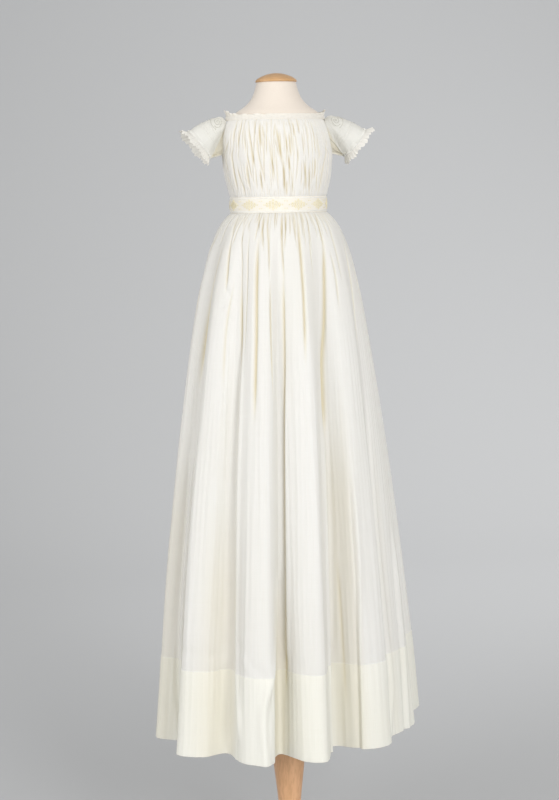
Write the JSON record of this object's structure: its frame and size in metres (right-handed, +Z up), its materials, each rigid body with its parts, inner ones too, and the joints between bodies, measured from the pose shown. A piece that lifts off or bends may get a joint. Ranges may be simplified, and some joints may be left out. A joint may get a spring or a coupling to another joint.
{
  "type": "infant's long gown on a dress form",
  "caption": "Long white high-waisted infant's gown with short flared sleeves, gathered bodice, embroidered waistband and deep hem, on a limbless dress form.",
  "frame": {"origin": "on the floor, at the middle of the base under the stem", "axes": "+Z up along the stem; the gown's centre front faces -Y; the wearer's left is +X"},
  "size_m": [0.4455, 0.3845, 1.255],
  "materials": {
    "muslin": "fine plain-woven cotton, soft, slightly sheer",
    "embroidery": "fine cotton worked with cream eyelet embroidery",
    "form_cover": "smooth stretched cream jersey",
    "wood": "turned beech, satin varnish",
    "thread": "thread-covered button, matt"
  },
  "bodies": {
    "root": {"form_torso": "form_cover", "form_neck_cap": "wood", "form_stem": "wood", "form_base": "wood", "skirt_back_right": "muslin", "hem_back_right": "muslin", "skirt_front": "muslin", "hem_front": "muslin", "skirt_back_left": "muslin", "hem_back_left": "muslin", "bodice_back_right": "muslin", "bodice_front": "muslin", "bodice_back_left": "muslin", "waistband_back_right": "embroidery", "waistband_front": "embroidery", "waistband_back_left": "embroidery", "neck_casing": "muslin", "neck_frill": "muslin", "sleeve_left": "muslin", "cuff_frill_left": "muslin", "sleeve_right": "muslin", "cuff_frill_right": "muslin", "back_placket": "muslin", "button_neck": "thread", "button_bodice": "thread", "button_waist": "thread"}
  },
  "joints": []
}
